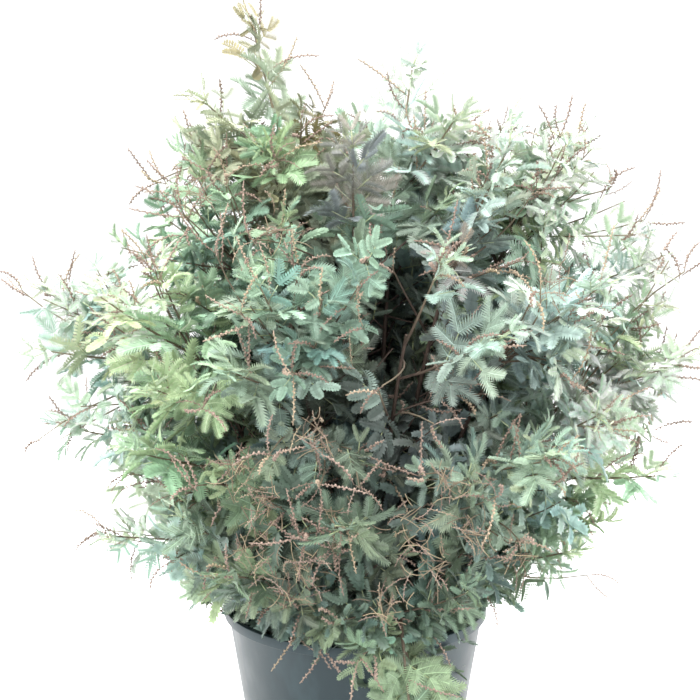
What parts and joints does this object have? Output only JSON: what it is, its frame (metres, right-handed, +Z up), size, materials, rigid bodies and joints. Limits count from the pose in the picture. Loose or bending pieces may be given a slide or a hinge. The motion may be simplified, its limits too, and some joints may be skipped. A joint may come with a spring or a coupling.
{
  "type": "bucket of mimosa branches",
  "caption": "Tapered florist's bucket holding upright and arching cut branches of silver-leaved mimosa with feathery leaves and fine sprays of flower buds.",
  "frame": {"origin": "centre of the bucket's flat underside", "axes": "+Z up along the bucket's axis, +X to the right and -Y towards the front"},
  "size_m": [0.5689, 0.4372, 0.7353],
  "materials": {
    "bucket_plastic": "smooth, slightly shiny moulded plastic, dark grey",
    "water": "clear still water",
    "leaves": "matt silver-green leaves on green-brown stems",
    "buds": "matt reddish-brown buds and stalks"
  },
  "bodies": {
    "root": {"branch_01": "leaves", "branch_02": "leaves", "branch_03": "leaves", "branch_04": "leaves", "branch_05": "leaves", "branch_06": "leaves", "branch_07": "leaves", "branch_08": "leaves", "branch_09": "leaves", "branch_10": "leaves", "branch_11": "leaves", "branch_12": "leaves", "branch_13": "leaves", "branch_14": "leaves", "branch_15": "leaves", "branch_16": "leaves", "branch_17": "leaves", "branch_18": "leaves", "branch_19": "leaves", "branch_20": "leaves", "branch_21": "leaves", "branch_22": "leaves", "branch_23": "leaves", "branch_24": "leaves", "branch_25": "leaves", "branch_26": "leaves", "branch_27": "leaves", "branch_28": "leaves", "branch_29": "leaves", "branch_30": "leaves", "branch_31": "leaves", "branch_32": "leaves", "bucket": "bucket_plastic", "buds_01": "buds", "buds_02": "buds", "buds_06": "buds", "buds_07": "buds", "buds_11": "buds", "buds_12": "buds", "buds_16": "buds", "buds_17": "buds", "buds_21": "buds", "buds_22": "buds", "buds_26": "buds", "buds_27": "buds", "buds_31": "buds", "buds_32": "buds", "water": "water"}
  },
  "joints": []
}
